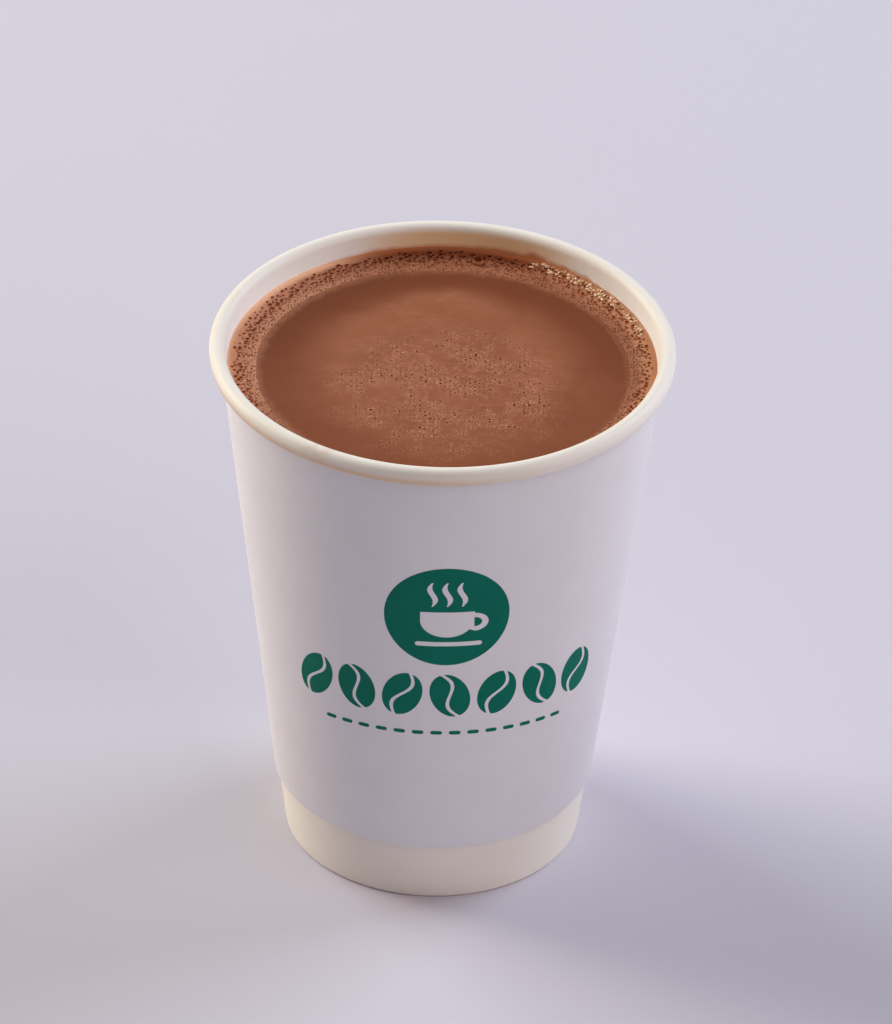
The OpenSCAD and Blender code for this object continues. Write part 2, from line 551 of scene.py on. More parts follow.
cut_edge = 0.0005
ease_angles = arc(lap_start, lap_start - ease_turn, 6)
sleeve_angles = sorted(even_angles(cup_steps) + ease_angles + [lap_end, lap_end + cut_edge])
sleeve_angles = [angle for place, angle in enumerate(sleeve_angles)
                 if place == 0 or angle - sleeve_angles[place - 1] > 0.4 * cut_edge]
points, faces = turn(sleeve_angles, sleeve_section)
sleeve = make_piece("cup_sleeve", points, faces, white_finish)
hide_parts("outer_sleeve")
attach(sleeve, BODY)
print("sleeve:", len(faces), "faces")

# %% [markdown]
# ## The print
# The sleeve is printed in one dark green ink before it is cut out: a roundel with a
# steaming cup left bare in it, a row of cocoa beans, and a row of short dashes. Each shape
# is drawn flat, as an artwork is, and given the thickness of the ink. A Geometry Nodes
# tree repeats it along a line and wraps it round the cone, which is what the glued sleeve
# does to its own print.

# %% Flat shapes
def flat_shape(name, outlines, finish, slice_w=1.0, ink=0.03, sink=0.05):
    """A flat plate with the given outline, holes and islands. It stands in the XZ plane."""
    loops = [[Vector((x, y, 0)) for x, y in outline] for outline in outlines]
    corners = [corner for loop in loops for corner in loop]
    work = bmesh.new()
    made = [work.verts.new((corner.x, 0, corner.y)) for corner in corners]
    for triangle in geometry.tessellate_polygon(loops):
        work.faces.new([made[place] for place in triangle])
    span = max(abs(corner.x) for corner in corners)
    count = int(span / slice_w) + 1
    for step in range(-count, count + 1):
        bmesh.ops.bisect_plane(work, geom=work.verts[:] + work.edges[:] + work.faces[:],
                               plane_co=(step * slice_w, 0, 0), plane_no=(1, 0, 0))
    work.verts.index_update()
    front = [(vert.co.x, -ink, vert.co.z) for vert in work.verts]
    back = [(vert.co.x, sink, vert.co.z) for vert in work.verts]
    shift = len(front)
    faces = []
    for face in work.faces:
        ring = [vert.index for vert in face.verts]
        faces.append(ring)
        faces.append([place + shift for place in reversed(ring)])
    for edge in work.edges:
        if len(edge.link_faces) == 1:
            near, far = (vert.index for vert in edge.verts)
            faces.append((near, far, far + shift, near + shift))
    work.free()
    return make_piece(name, front + back, faces, finish)


# %% Tree: repeat a shape and wrap it round the cone
def geometry_tree(name, inputs):
    return new_group(
        name, "GeometryNodeTree",
        [("Geometry", "NodeSocketGeometry", None)] + inputs,
        [("Geometry", "NodeSocketGeometry")],
    )


wrap_tree, wrap_in, wrap_out = geometry_tree("wrap a row round the cone", [
    ("Count", "NodeSocketInt", 1),
    ("Pitch", "NodeSocketFloat", 10 * MM),
    ("Tilt", "NodeSocketFloat", 0.0),
    ("Side", "NodeSocketFloat", 0.0),
    ("Height", "NodeSocketFloat", 50 * MM),
    ("Bow", "NodeSocketFloat", 0.0),
    ("Foot radius", "NodeSocketFloat", 30 * MM),
    ("Slope", "NodeSocketFloat", 0.12),
    ("Ink", "NodeSocketMaterial", None),
])
row_length = times(wrap_tree, wrap_in["Pitch"], calc(wrap_tree, "SUBTRACT", wrap_in["Count"], 1.0))
row_start = calc(wrap_tree, "SUBTRACT", wrap_in["Side"], times(wrap_tree, row_length, 0.5))
row = put(wrap_tree, "GeometryNodeMeshLine", {"mode": "OFFSET"}, Count=wrap_in["Count"])
row_start_point = put(wrap_tree, "ShaderNodeCombineXYZ", X=row_start)
row_pitch = put(wrap_tree, "ShaderNodeCombineXYZ", X=wrap_in["Pitch"])
plug(wrap_tree, row_start_point.outputs[0], row.inputs["Start Location"])
plug(wrap_tree, row_pitch.outputs[0], row.inputs["Offset"])
index = put(wrap_tree, "GeometryNodeInputIndex").outputs[0]
even_or_odd = line(wrap_tree, calc(wrap_tree, "MODULO", index, 2.0), -2.0, 1.0)
lean_over = put(wrap_tree, "ShaderNodeCombineXYZ", Y=times(wrap_tree, even_or_odd, wrap_in["Tilt"]))
copies = put(wrap_tree, "GeometryNodeInstanceOnPoints", Points=row.outputs["Mesh"],
             Instance=wrap_in["Geometry"])
plug(wrap_tree, lean_over.outputs[0], copies.inputs["Rotation"])
flat_row = put(wrap_tree, "GeometryNodeRealizeInstances", Geometry=copies.outputs["Instances"])
art_x, art_out, art_z = parts_of(wrap_tree, put(wrap_tree, "GeometryNodeInputPosition").outputs[0])
bow_half = 32
bow_at = calc(wrap_tree, "DIVIDE", art_x, bow_half * MM)
bowed = times(wrap_tree, wrap_in["Bow"], bow_at, bow_at)
wrap_z = calc(wrap_tree, "SUBTRACT", calc(wrap_tree, "ADD", art_z, wrap_in["Height"]), bowed)
cone_r = line(wrap_tree, wrap_z, wrap_in["Slope"], wrap_in["Foot radius"])
wrap_turn = calc(wrap_tree, "DIVIDE", art_x, cone_r)
ink_r = calc(wrap_tree, "SUBTRACT", cone_r, art_out)
wrapped = put(
    wrap_tree, "ShaderNodeCombineXYZ",
    X=times(wrap_tree, ink_r, calc(wrap_tree, "SINE", wrap_turn)),
    Y=times(wrap_tree, ink_r, calc(wrap_tree, "COSINE", wrap_turn), -1.0),
    Z=wrap_z,
)
on_cone = put(wrap_tree, "GeometryNodeSetPosition", Geometry=flat_row.outputs[0],
              Position=wrapped.outputs[0])
inked = put(wrap_tree, "GeometryNodeSetMaterial", Geometry=on_cone.outputs[0], Material=wrap_in["Ink"])
plug(wrap_tree, inked.outputs[0], wrap_out["Geometry"])


# %% Run a tree on a piece and keep the plain mesh
def run_tree(piece, tree, name, **values):
    """Adds the tree as a modifier, sets its inputs, and returns the result as a plain piece."""
    modifier = piece.modifiers.new(tree.name, "NODES")
    modifier.node_group = tree
    for item in tree.interface.items_tree:
        key = item.name.replace(" ", "_")
        if item.in_out == "INPUT" and key in values:
            modifier[item.identifier] = values[key]
    drawn = piece.evaluated_get(bpy.context.evaluated_depsgraph_get())
    mesh = bpy.data.meshes.new_from_object(drawn)
    mesh.name = name
    for place in reversed(range(len(mesh.materials))):
        if mesh.materials[place] is None:
            mesh.materials.pop(index=place)
    result = bpy.data.objects.new(name, mesh)
    bpy.context.scene.collection.objects.link(result)
    piece.modifiers.remove(modifier)
    return result


# %% Material: dark green ink
ink_finish, tree, shader = new_finish("green_ink", srgb(0, 104, 86), 0.55, 0.1)
grain = place_group(tree, paper_grain, Blotch_size=4 * MM, Fibre_size=0.25 * MM)
grained(tree, shader, grain, srgb(0, 112, 94), srgb(0, 124, 104), 0.5)


# %% Artwork: roundel with a steaming cup, a cocoa bean, a dash
def oval(width, height, steps=72, x=0.0, y=0.0):
    return [(x + width / 2 * math.cos(turn_at), y + height / 2 * math.sin(turn_at))
            for turn_at in even_angles(steps)]


def bar(width, height, x=0.0, y=0.0, steps=8):
    """A bar with round ends."""
    end_r = height / 2
    half = width / 2 - end_r
    right = [(x + half + end_r * math.sin(swing), y - end_r * math.cos(swing))
             for swing in arc(0, math.pi, steps)]
    left = [(x - half - end_r * math.sin(swing), y + end_r * math.cos(swing))
            for swing in arc(0, math.pi, steps)]
    return right + left


def wisp(x, low, high, width, sway, steps=14):
    """A rising wisp of steam, as a wavy stroke that tapers at both ends."""
    near, far = [], []
    for part in arc(0.0, 1.0, steps):
        middle = x + sway * math.sin(2 * math.pi * part)
        half = width / 2 * math.sin(math.pi * min(max(part, 0.04), 0.96)) ** 0.6
        near.append((middle - half, low + (high - low) * part))
        far.append((middle + half, low + (high - low) * part))
    return near + far[::-1]


mug_half = 5.2
mug_top = 1.2
bowl_z = -1.0
bowl_deep = 4.2


def half_loop(x, z, out, up, start, stop, steps):
    """Points of a loop that stands out to the right of x, from its lower end to its upper."""
    return [(x + out * math.sin(swing), z - up * math.cos(swing)) for swing in arc(start, stop, steps)]


def mug_outline():
    """A round-bottomed cup with its handle on the right, seen from the side."""
    bowl = [(-mug_half * math.cos(swing), bowl_z - bowl_deep * math.sin(swing))
            for swing in arc(0, math.pi / 2, 10)]
    base = half_loop(0.0, bowl_z, mug_half, bowl_deep, 0.05, 1.0, 8)
    handle = half_loop(mug_half, -1.5, 2.9, 2.3, 0.1, math.pi - 0.1, 12)
    return [(-mug_half, mug_top)] + bowl + base + handle + [(mug_half, mug_top)]


def handle_hole():
    return half_loop(5.3, -1.45, 1.5, 1.15, 0.0, math.pi, 10)


def bean_halves(width=7.6, height=11.0, split=0.75, steps=22):
    """The two halves of a cocoa bean, parted by a curved crease."""
    def crease(part):
        return 0.16 * width * math.sin(2 * math.pi * part)
    halves = []
    for side in (-1, 1):
        rim = [(side * width / 2 * math.cos(swing), height / 2 * math.sin(swing))
               for swing in arc(-math.pi / 2 + 0.12, math.pi / 2 - 0.12, steps)]
        seam = [(crease(part) + side * split / 2, height * (0.5 - part)) for part in arc(0.03, 0.97, steps)]
        halves.append([rim + seam])
    return halves


# %% Print the sleeve
ink_face = outside(0, air_gap + paper)
print_values = {
    "Foot_radius": ink_face * MM,
    "Slope": math.tan(lean),
    "Ink": ink_finish,
}


def print_shape(name, outline_groups, **values):
    """Draws shapes flat, wraps each one, and makes them one printed piece."""
    parts = []
    for outlines in outline_groups:
        flat = flat_shape("flat", outlines, ink_finish)
        parts.append(run_tree(flat, wrap_tree, name, **print_values, **values))
        bpy.data.objects.remove(flat)
    work = bmesh.new()
    for part in parts:
        work.from_mesh(part.data)
    printed = parts[0]
    work.to_mesh(printed.data)
    work.free()
    for part in parts[1:]:
        bpy.data.objects.remove(part)
    printed.name = name
    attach(printed, BODY)
    print(f"{name}: {len(printed.data.polygons)} faces")
    return printed


steam = [wisp(x, 2.6, 8.6, 1.25, 0.55) for x in (-2.9, 0.0, 2.9)]
saucer = bar(13.0, 1.1, 0.4, -6.9)
roundel = [[oval(24.5, 24.5, 96), mug_outline(), saucer] + steam, [handle_hole()]]
print_shape("print_roundel", roundel, Side=2.1 * MM, Height=73.5 * MM)
print_shape("print_beans", bean_halves(), Count=7, Pitch=9.3 * MM, Tilt=0.3, Side=3.0 * MM,
            Height=53.4 * MM, Bow=1.9 * MM)
print_shape("print_dashes", [[bar(2.3, 0.9)]], Count=14, Pitch=3.6 * MM, Side=2.3 * MM,
            Height=43.8 * MM, Bow=1.9 * MM)

# %% [markdown]
# ## Bubbles in the materials
# The drink and its froth are both full of bubbles, from pinpricks to beads. The small ones
# are a node group: cells scattered over the surface, each with a dot of its own size.
# It puts out the dot, and a paler ring round it, partly film and partly a painted highlight.

# %% Group: bubble dots
dots_group, dots_in, dots_out = new_group(
    "bubble dots", "ShaderNodeTree",
    [("Spacing", "NodeSocketFloat", 0.6 * MM), ("Fill", "NodeSocketFloat", 0.4)],
    [("Dot", "NodeSocketFloat"), ("Ring", "NodeSocketFloat")],
)
cells = put(dots_group, "ShaderNodeTexVoronoi", {"voronoi_dimensions": "2D"},
            Vector=object_place(dots_group), Randomness=0.85,
            Scale=calc(dots_group, "DIVIDE", METRE, dots_in["Spacing"]))
cell_pick = put(dots_group, "ShaderNodeSeparateColor", Color=cells.outputs["Color"])
dot_r = times(dots_group, dots_in["Fill"], calc(dots_group, "POWER", cell_pick.outputs[0], 0.8))
to_dot = calc(dots_group, "SUBTRACT", cells.outputs["Distance"], dot_r)
dot = soft_fall(dots_group, to_dot, -0.06, 0.05)
to_ring = calc(dots_group, "ABSOLUTE", calc(dots_group, "SUBTRACT", to_dot, 0.08))
# The ring stands for the paler film round a bubble and for a painted highlight on it.
ring = soft_fall(dots_group, to_ring, 0.02, 0.12)
big_enough = calc(dots_group, "GREATER_THAN", dot_r, 0.08)
plug(dots_group, times(dots_group, dot, big_enough), dots_out["Dot"])
plug(dots_group, times(dots_group, ring, big_enough), dots_out["Ring"])

# %% [markdown]
# ## The drink
# Hot chocolate made with milk is an opaque, satin brown. A darker band lies where the
# clear drink meets the froth, and the last of the froth frays out over it as a thin
# fringe. The band's middle is a little in front of the cup's, and the fringe's edge is
# pushed about by noise.

# %% Hot chocolate: the dark band and the fringe
clear_y = -1.4
clear_r = 35.7
cocoa_finish, tree, shader = new_finish("hot_chocolate", srgb(154, 94, 67), 0.4, 0.16)
here = object_place(tree)
at_x, at_y, _ = parts_of(tree, here)
from_middle = from_axis(tree, at_x, calc(tree, "SUBTRACT", at_y, clear_y * MM))
slow = clouds(tree, 16, 3.0, distortion=0.8)
at_side = soft_step(tree, calc(tree, "ABSOLUTE", at_x), 4 * MM, 26 * MM)
band_start = line(tree, slow, 14 * MM, line(tree, at_side, -9 * MM, (clear_r - 17) * MM))
band_mask = soft_step(tree, from_middle, band_start, (clear_r - 3.2) * MM)
back_share = soft_step(tree, at_y, -32 * MM, 24 * MM)
band_mask = times(tree, band_mask, line(tree, back_share, 0.45, 0.42))
rightness = soft_step(tree, at_x, 0.0, 30 * MM)
fringe_start = line(tree, rightness, 0.9 * MM, (clear_r - 2.9) * MM)
fringe_start = line(tree, clouds(tree, 2.4, 3.0, 0.6), 2.6 * MM, fringe_start)
fringe_fade = line(tree, rightness, -1.4 * MM, 2.2 * MM)
fringe_mask = soft_step(tree, from_middle, fringe_start, calc(tree, "ADD", fringe_start, fringe_fade))

# %% [markdown]
# Stirring leaves pale wisps of milk foam, drawn out from side to side. Nearer the middle
# they break up into curls, and clusters of tiny bubbles gather there. The curls are the
# places where a twisted noise crosses its middle value, which makes thin bent lines.

# %% Hot chocolate: wisps, curls and tiny bubbles
drawn_out = put(tree, "ShaderNodeMapping", Vector=here, Scale=(0.35, 1.0, 1.0), Rotation=(0, 0, 0.15))
wisps = clouds(tree, 4, 5.0, 0.7, 2.6, drawn_out.outputs[0])
wisp_mask = times(tree, soft_step(tree, wisps, 0.5, 0.66), opposite(tree, band_mask))
from_stir = from_axis(tree, calc(tree, "SUBTRACT", at_x, 1 * MM), calc(tree, "ADD", at_y, 9 * MM))
stir_mask = soft_fall(tree, from_stir, 15 * MM, 28 * MM)
clusters = clouds(tree, 7, 5.0, 0.7)
cluster_mask = times(tree, soft_step(tree, clusters, 0.44, 0.56), stir_mask)
curl_line = calc(tree, "ABSOLUTE", calc(tree, "SUBTRACT", clouds(tree, 4.2, 4.0, 0.66, 1.3), 0.5))
curl_mask = times(tree, soft_fall(tree, curl_line, 0.004, 0.045), stir_mask,
                  soft_step(tree, clusters, 0.36, 0.5))
dots = place_group(tree, dots_group, Spacing=0.95 * MM, Fill=0.32)
specks = place_group(tree, dots_group, Spacing=0.75 * MM, Fill=0.36)
fringe_dots = place_group(tree, dots_group, Spacing=0.6 * MM, Fill=0.4)
dot_mask = times(tree, dots.outputs["Dot"], cluster_mask)
speck_mask = times(tree, specks.outputs["Dot"], cluster_mask, soft_step(tree, wisps, 0.4, 0.52))
grit = times(tree, soft_step(tree, clouds(tree, 0.5, 3.0, 0.7), 0.45, 0.7), cluster_mask)

# %% Material: hot chocolate
# Painted shade: the near side of the drink is made darker.
painted_shade_near_side = soft_fall(tree, at_y, -36 * MM, -2 * MM)
cocoa_brown = blend_colour(tree, soft_step(tree, slow, 0.35, 0.65), srgb(149, 90, 64), srgb(158, 98, 71))
fringe = layer_colours(tree, srgb(166, 110, 82), [
    (soft_step(tree, at_y, 16 * MM, 38 * MM), srgb(142, 87, 59), 1.0),
    (soft_step(tree, at_x, 0.0, 25 * MM), srgb(144, 88, 61), 1.0),
])
plug(tree, layer_colours(tree, cocoa_brown, [
    (wisp_mask, srgb(172, 111, 84), 0.4),
    (curl_mask, srgb(184, 122, 97), 0.58),
    (painted_shade_near_side, srgb(136, 79, 54), 0.55),
    (band_mask, srgb(117, 61, 37), 1.0),
    (fringe_mask, fringe, 1.0),
    (times(tree, fringe_dots.outputs["Dot"], fringe_mask), srgb(112, 54, 30), 0.6),
    (speck_mask, srgb(200, 142, 114), 0.7),
    # pale rings round the tiny bubbles: film and painted highlight
    (times(tree, dots.outputs["Ring"], cluster_mask), srgb(196, 138, 108), 0.6),
    (dot_mask, srgb(80, 26, 6), 0.95),
    (grit, srgb(182, 122, 94), 0.25),
]), shader.inputs["Base Color"])
add_bump(tree, shader, line(tree, grit, 0.35, times(tree, dot_mask, -1.0)), 0.03)
print("hot chocolate:", len(tree.nodes), "nodes")

# %% [markdown]
# The body of the drink is turned like the cup, down to the disc. Its top has a fine mesh,
# so that it can rise and dip by a few hundredths of a millimetre.

# %% The body of the drink
into_wall = 0.1
drink_steps = 288
top_rings = 64


def gentle(x, y):
    """The slow rise and dip of a drink that has just been set down, in millimetres."""
    swell = 0.05 * noise.noise(Vector((x / 14, y / 14, 3.0)))
    ripple = 0.02 * noise.noise(Vector((x / 4, y / 4, 7.0)))
    return swell + ripple


drink_r = inside(level, paper - into_wall)
drink_points = [(0, 0, drink_low)]
drink_radii = [(inside(drink_low, paper - into_wall), drink_low), (drink_r, level)]
drink_radii += [(drink_r * (1 - step / top_rings), level) for step in range(1, top_rings)]
for radius, height in drink_radii:
    for angle in even_angles(drink_steps):
        x, y = radius * math.cos(angle), radius * math.sin(angle)
        rise = gentle(x, y) if height == level else 0.0
        drink_points.append((x, y, height + rise))
drink_points.append((0, 0, level + gentle(0, 0)))
drink_faces = []
last = len(drink_points) - 1
for step in range(drink_steps):
    beyond = (step + 1) % drink_steps
    drink_faces.append((0, 1 + beyond, 1 + step))
    for ring_at in range(len(drink_radii) - 1):
        low = 1 + ring_at * drink_steps
        high = low + drink_steps
        drink_faces.append((low + step, low + beyond, high + beyond, high + step))
    low = 1 + (len(drink_radii) - 1) * drink_steps
    drink_faces.append((low + step, low + beyond, last))
drink = make_piece("drink_body", drink_points, drink_faces, cocoa_finish)
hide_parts("drink")
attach(drink, BODY)
print("drink:", len(drink_faces), "faces")

# %% [markdown]
# ## The froth
# Froth gathers along the wall as a ring. It climbs the paper a little, slopes down to the
# drink, and its inner edge wanders. Its section changes all the way round, so each section
# is worked out on its own, as the CAD model does, with far more steps. The mesh also stores
# how far across the froth each point is, from 0 at the wall to 1 at the inner edge. The
# bubbles and the material both use that.

# %% The froth's shape
froth_steps = 900
froth_bands = 26
froth_shift = 1.4
froth_wave = 0.4
froth_w = 5.7
froth_edge = 0.15
froth_climb = 0.5
edge_sink = 0.26
sink_from = 0.84
froth_low = level - 0.25


def froth_edge_r(angle):
    """Radius of the froth's inner edge at an angle."""
    waves = (
        0.55 * math.sin(3 * angle + math.radians(40))
        + 0.3 * math.sin(7 * angle - math.radians(20))
        + 0.15 * math.sin(13 * angle + math.radians(75))
    )
    return inside(level, paper) - froth_w - froth_shift * math.sin(angle) + froth_wave * waves


def froth_top(angle, across):
    """Height of the froth over the drink's level, across from the wall."""
    wall_h = 0.7 * (1 + 0.08 * math.sin(2 * angle + math.radians(30)) + 0.05 * math.sin(9 * angle))
    lump = Vector((14 * math.cos(angle), 14 * math.sin(angle), 4 * across))
    heaps = 0.16 * noise.noise(lump) + 0.08 * noise.noise(lump * 3)
    climb = froth_climb * math.exp(-across / 0.13)
    fall = (wall_h - froth_edge) * (1 - across) ** 1.6
    return froth_edge + fall + climb + heaps * math.sin(math.pi * across)


def froth_section(angle):
    edge_at = froth_edge_r(angle)
    section = [(inside(froth_low, paper - into_wall), froth_low)]
    for band in range(froth_bands + 1):
        across = band / froth_bands
        sink = edge_sink * max(across - sink_from, 0) / (1 - sink_from)
        height = level + froth_top(angle, across) - sink
        wall_side = inside(height, paper - into_wall)
        section.append((wall_side + (edge_at - wall_side) * across, height))
    section.append((edge_at + 0.3, froth_low))
    return section


def across_values(count):
    """How far across the froth each point of a section is."""
    one = [0.0] + [band / froth_bands for band in range(froth_bands + 1)] + [1.0]
    return one * count


# %% Froth: holes, shade and the margin by the wall
froth_finish, tree, shader = new_finish("froth", srgb(197, 131, 96), 0.45, 0.15)
across = stored_value(tree, "across")
along_x, along_y = cup_sides(tree)
tone = clouds(tree, 2.5, 4.0, 0.6)
small_dots = place_group(tree, dots_group, Spacing=0.95 * MM, Fill=0.4)
tiny_dots = place_group(tree, dots_group, Spacing=0.6 * MM, Fill=0.4)
small_holes = times(tree, small_dots.outputs["Dot"], soft_step(tree, across, 0.24, 0.32),
                    soft_fall(tree, across, 0.55, 0.8))
tiny_holes = times(tree, tiny_dots.outputs["Dot"], soft_step(tree, across, 0.4, 0.6),
                   soft_fall(tree, across, 0.93, 0.99))
holes = calc(tree, "MAXIMUM", small_holes, tiny_holes)
shade_side = calc(tree, "MAXIMUM", soft_step(tree, along_x, 0.0, 0.6),
                  soft_fall(tree, along_y, -0.6, -0.1))
shade_side = times(tree, shade_side, soft_step(tree, across, 0.35, 0.9))
backness = soft_step(tree, line(tree, along_x, 0.08, along_y), 0.76, 0.95)
left_back = times(tree, soft_step(tree, along_y, 0.2, 0.6), soft_fall(tree, along_x, -0.6, -0.3))
margin_start = line(tree, backness, 0.08, 0.06)
margin_stop = line(tree, tone, 0.16, line(tree, backness, 0.26, 0.18))
margin = soft_fall(tree, across, margin_start, margin_stop)

# %% Material: froth
far_half = soft_step(tree, along_y, 0.5, 0.95)
foam = blend_colour(tree, far_half, srgb(202, 138, 104), srgb(154, 94, 64))
foam_pale = blend_colour(tree, far_half, srgb(212, 150, 116), srgb(170, 108, 78))
plain_foam = layer_colours(tree, srgb(166, 110, 82), [
    (soft_step(tree, along_y, 0.4, 0.95), srgb(142, 87, 59), 1.0),
    (soft_step(tree, along_x, 0.0, 0.6), srgb(144, 88, 61), 1.0),
])
dark_margin = blend_colour(tree, soft_step(tree, across, 0.0, 0.22), srgb(186, 114, 74), srgb(130, 62, 34))
pale_margin = blend_colour(tree, soft_step(tree, across, 0.0, 0.2), srgb(226, 170, 134), srgb(206, 146, 110))
margin_colour = layer_colours(tree, pale_margin, [
    (left_back, srgb(244, 188, 148), 1.0),
    (soft_step(tree, along_x, 0.35, 0.75), srgb(186, 124, 82), 1.0),
    (backness, dark_margin, 1.0),
])
plug(tree, layer_colours(tree, foam, [
    (soft_step(tree, tone, 0.35, 0.7), foam_pale, 1.0),
    (shade_side, srgb(150, 94, 66), 0.9),
    # pale rings round the small holes: film and painted highlight
    (small_dots.outputs["Ring"], foam_pale, 0.25),
    (holes, srgb(112, 48, 24), 0.85),
    (soft_step(tree, across, 0.9, 0.97), plain_foam, 1.0),
    (margin, margin_colour, 1.0),
]), shader.inputs["Base Color"])
plug(tree, line(tree, margin, -0.2, 0.45), shader.inputs["Roughness"])
pebbles = put(tree, "ShaderNodeTexVoronoi", Vector=object_place(tree), Scale=METRE / (0.5 * MM),
              Randomness=0.9)
foam_height = line(tree, tone, 0.4, times(tree, holes, -0.8))
foam_height = line(tree, times(tree, pebbles.outputs["Distance"], margin), -0.5, foam_height)
add_bump(tree, shader, foam_height, 0.1)
print("froth:", len(tree.nodes), "nodes")

# %% The froth
points, faces = turn(even_angles(froth_steps), froth_section)
froth = make_piece("froth_foam", points, faces, froth_finish, 60)
stored = froth.data.attributes.new("across", "FLOAT", "POINT")
stored.data.foreach_set("value", across_values(froth_steps))
print("froth:", len(faces), "faces")

# %% [markdown]
# The larger bubbles stand out as beads: dark windows with a paler film round them. They
# crowd along the wall and get smaller towards the drink. Each one is a low dome of a few
# dozen faces, which stores how high up each point is, and the material turns that height
# into the window and its edge. At the back right the bubbles are glossy and carry painted
# glints, and noise picks which of them are painted pale.

# %% Material: bubble film
bead_finish, tree, shader = new_finish("bubble_film", srgb(84, 34, 16), 0.4, 0.05)
_, at_y, _ = parts_of(tree, object_place(tree))
far_back = soft_step(tree, at_y, 33 * MM, 39 * MM)
window = blend_colour(tree, far_back, srgb(112, 42, 18), srgb(62, 20, 8))
film = blend_colour(tree, far_back, srgb(196, 130, 94), srgb(150, 86, 54))
plug(tree, blend_colour(tree, soft_step(tree, stored_value(tree, "rise"), 0.5, 0.82), film, window),
     shader.inputs["Base Color"])

# %% Material: glossy bubbles with painted glints
glint_painted_finish, tree, shader = new_finish("wet_bubbles", srgb(240, 196, 158), 0.12, 0.8)
# Painted glints: on the beads that noise picks, film and window are painted pale peach in place of the
# lights' reflection.
glint_pick = soft_step(tree, clouds(tree, 1.1, 2.0), 0.4, 0.54)
film = blend_colour(tree, glint_pick, srgb(168, 100, 64), srgb(255, 226, 190))
window = blend_colour(tree, glint_pick, srgb(112, 48, 22), srgb(246, 190, 146))
plug(tree, blend_colour(tree, soft_step(tree, stored_value(tree, "rise"), 0.7, 0.9), film, window),
     shader.inputs["Base Color"])

# %% [markdown]
# Geometry Nodes scatter the beads over the froth, at least a set distance apart. From and
# To are the part of the froth's width that they lie on, and Past X and Past Y keep them
# to one side of the cup.

# %% Tree: beads over the froth
bead_tree, bead_in, bead_out = geometry_tree("beads on the froth", [
    ("From", "NodeSocketFloat", 0.0),
    ("To", "NodeSocketFloat", 1.0),
    ("Past Y", "NodeSocketFloat", -1.0),
    ("Past X", "NodeSocketFloat", -1.0),
    ("Apart", "NodeSocketFloat", 1 * MM),
    ("Density", "NodeSocketFloat", 1e6),
    ("Smallest", "NodeSocketFloat", 0.2 * MM),
    ("Largest", "NodeSocketFloat", 0.4 * MM),
    ("Seed", "NodeSocketInt", 1),
    ("Film", "NodeSocketMaterial", None),
])
bead_across = put(bead_tree, "GeometryNodeInputNamedAttribute", {"data_type": "FLOAT"},
                  Name="across").outputs[0]
_, _, facing_up = parts_of(bead_tree, put(bead_tree, "GeometryNodeInputNormal").outputs[0])
bead_place = put(bead_tree, "GeometryNodeInputPosition").outputs[0]
bead_x, bead_y, _ = parts_of(bead_tree, bead_place)
wanted = times(
    bead_tree,
    calc(bead_tree, "GREATER_THAN", bead_across, bead_in["From"]),
    calc(bead_tree, "LESS_THAN", bead_across, bead_in["To"]),
    calc(bead_tree, "GREATER_THAN", facing_up, 0.3),
    calc(bead_tree, "GREATER_THAN", bead_x, bead_in["Past X"]),
    calc(bead_tree, "GREATER_THAN", bead_y, bead_in["Past Y"]),
)
scatter = put(bead_tree, "GeometryNodeDistributePointsOnFaces", {"distribute_method": "POISSON"},
              Mesh=bead_in["Geometry"], Selection=wanted, Seed=bead_in["Seed"])
plug(bead_tree, bead_in["Apart"], scatter.inputs["Distance Min"])
plug(bead_tree, bead_in["Density"], scatter.inputs["Density Max"])
ball = put(bead_tree, "GeometryNodeMeshUVSphere", Segments=9, Rings=6, Radius=1.0)
_, _, ball_z = parts_of(bead_tree, bead_place)
marked = put(bead_tree, "GeometryNodeStoreNamedAttribute", {"data_type": "FLOAT", "domain": "POINT"},
             Geometry=ball.outputs["Mesh"], Name="rise")
plug(bead_tree, ball_z, marked.inputs["Value"])
smooth_ball = put(bead_tree, "GeometryNodeSetShadeSmooth", Geometry=marked.outputs[0])
size = put(bead_tree, "FunctionNodeRandomValue", {"data_type": "FLOAT"}, Seed=bead_in["Seed"])
plug(bead_tree, bead_in["Smallest"], size.inputs[2])
plug(bead_tree, bead_in["Largest"], size.inputs[3])
squat = put(bead_tree, "ShaderNodeCombineXYZ", X=size.outputs[1], Y=size.outputs[1],
            Z=times(bead_tree, size.outputs[1], 0.55))
beads = put(bead_tree, "GeometryNodeInstanceOnPoints", Points=scatter.outputs["Points"],
            Instance=smooth_ball.outputs[0])
plug(bead_tree, squat.outputs[0], beads.inputs["Scale"])
real_beads = put(bead_tree, "GeometryNodeRealizeInstances", Geometry=beads.outputs["Instances"])
filmed = put(bead_tree, "GeometryNodeSetMaterial", Geometry=real_beads.outputs[0],
             Material=bead_in["Film"])
plug(bead_tree, filmed.outputs[0], bead_out["Geometry"])


# %% Beads along the wall and in the froth
def scatter_beads(name, film, **values):
    piece = run_tree(froth, bead_tree, name, Film=film, **values)
    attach(piece, BODY)
    print(f"{name}: {len(piece.data.polygons)} faces")


scatter_beads("beads_wall", bead_finish, From=0.16, To=0.56, Apart=0.98 * MM, Density=6e6,
              Smallest=0.24 * MM, Largest=0.56 * MM, Seed=3)
scatter_beads("beads_back", bead_finish, From=0.2, To=0.44, Apart=1.2 * MM, Density=6e6,
              Smallest=0.42 * MM, Largest=0.78 * MM, Seed=6, Past_Y=32 * MM)
scatter_beads("beads_field", bead_finish, From=0.4, To=0.84, Apart=0.95 * MM, Density=1.0e6,
              Smallest=0.18 * MM, Largest=0.34 * MM, Seed=8)
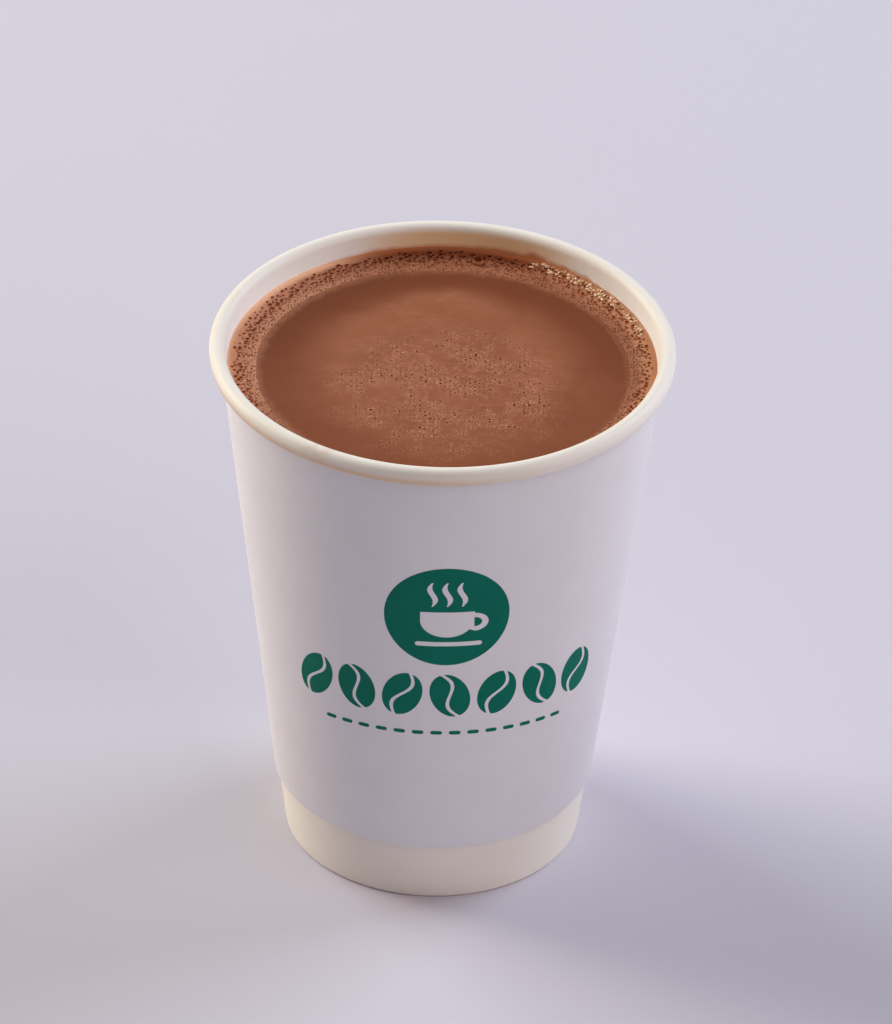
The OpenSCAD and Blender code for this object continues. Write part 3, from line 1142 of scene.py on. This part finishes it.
# Glossy beads with painted glints, at the back right.
scatter_beads("beads_glossy", glint_painted_finish, From=0.05, To=0.28, Apart=0.74 * MM, Density=9e6,
              Smallest=0.26 * MM, Largest=0.58 * MM, Seed=5, Past_X=17 * MM, Past_Y=12 * MM)
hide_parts("froth")
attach(froth, BODY)


# %% [markdown]
# Two bubbles are larger than the rest: one in the froth at the back, and one that has
# drifted out on to the drink. Each is set in its own place, with the same film.

# %% Two large bubbles
def large_bubbles(name, spots, film, squash=0.5):
    """Domes at the given places, each with its middle at x, y and z."""
    work = bmesh.new()
    rise_layer = work.verts.layers.float.new("rise")
    for x, y, z, radius in spots:
        shape = Matrix.LocRotScale(Vector((x, y, z)), None, Vector((radius, radius, radius * squash)))
        ball = bmesh.ops.create_uvsphere(work, u_segments=24, v_segments=12, radius=1.0, matrix=shape)
        for vert in ball["verts"]:
            vert[rise_layer] = (vert.co.z - z) / (radius * squash)
    points = [tuple(vert.co) for vert in work.verts]
    rises = [vert[rise_layer] for vert in work.verts]
    work.verts.index_update()
    faces = [[vert.index for vert in face.verts] for face in work.faces]
    work.free()
    piece = make_piece(name, points, faces, film)
    stored = piece.data.attributes.new("rise", "FLOAT", "POINT")
    stored.data.foreach_set("value", rises)
    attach(piece, BODY)
    print(f"{name}: {len(faces)} faces")


big_bubble = (6.5, 37.4, level + 0.6, 1.2)
lone_bubble = (1.2, -19.2, level, 0.36)
large_bubbles("bubbles_large", [big_bubble, lone_bubble], bead_finish)

# %% [markdown]
# ## Floor, light and camera
# The cup stands on a pale, slightly lilac sheet. Two soft lights at the left, one of them
# low and warm, light the left edge and the far inside of the cup. A cool one at the back
# right and a warm one at the front right open the shadows, and the room gives the rest.

# %% Floor
floor_finish, tree, shader = new_finish("pale_sheet", srgb(214, 211, 224), 0.8, 0.2)
plug(tree, blend_colour(tree, clouds(tree, 250, 2.0), srgb(205, 202, 215), srgb(209, 205, 216)),
     shader.inputs["Base Color"])
floor_half = 3000
floor_corners = [(x * floor_half, y * floor_half, 0) for x, y in ((-1, -1), (1, -1), (1, 1), (-1, 1))]
floor = make_piece("floor", floor_corners, [(0, 1, 2, 3)], floor_finish)


# %% Lights
def soft_light(name, azimuth, elevation, distance, size, watts, colour):
    """A square soft light that faces the cup. The azimuth is from +X towards +Y."""
    lamp = bpy.data.lights.new(name, "AREA")
    lamp.size = size
    lamp.energy = watts
    lamp.color = colour
    flat = math.cos(math.radians(elevation))
    aim = Vector((0, 0, 0.06))
    reach = Vector((flat * math.cos(math.radians(azimuth)), flat * math.sin(math.radians(azimuth)),
                    math.sin(math.radians(elevation)))) * distance
    holder = bpy.data.objects.new(name, lamp)
    holder.location = aim + reach
    holder.rotation_euler = (-reach).to_track_quat("-Z", "Y").to_euler()
    bpy.context.scene.collection.objects.link(holder)


soft_light("back_left", 147, 35, 1.6, 0.9, 16.7, (0.93, 1.0, 0.985))
soft_light("low_left", 158, 15, 1.6, 0.6, 11.3, (1.0, 0.74, 0.5))
soft_light("back_right", 30, 35, 1.6, 0.9, 15.2, (0.80, 0.87, 1.0))
soft_light("front_right", -38, 38, 1.6, 1.3, 10.6, (1.0, 0.87, 0.83))
world = bpy.data.worlds.new("room")
world.use_nodes = True
world.node_tree.nodes["Background"].inputs["Color"].default_value = (0.95, 0.93, 1.0, 1.0)
world.node_tree.nodes["Background"].inputs["Strength"].default_value = 0.08
bpy.context.scene.world = world

# %% Camera
eye_distance = 2.0
eye_elevation = math.radians(34.07)
eye_roll = math.radians(1.37)
look_at = Vector((0.00139, 0.0, 0.07173))
eye_offset = Vector((0, -math.cos(eye_elevation), math.sin(eye_elevation))) * eye_distance
camera = bpy.data.objects.new("camera", bpy.data.cameras.new("camera"))
camera.location = look_at + eye_offset
facing_cup = (-eye_offset).to_track_quat("-Z", "Y")
camera.rotation_euler = (facing_cup.to_matrix() @ Matrix.Rotation(eye_roll, 3, "Z")).to_euler()
camera.data.sensor_width = 36
camera.data.lens = 361
camera.data.clip_end = 20
bpy.context.scene.collection.objects.link(camera)
bpy.context.scene.camera = camera
bpy.context.scene.view_settings.view_transform = "Standard"
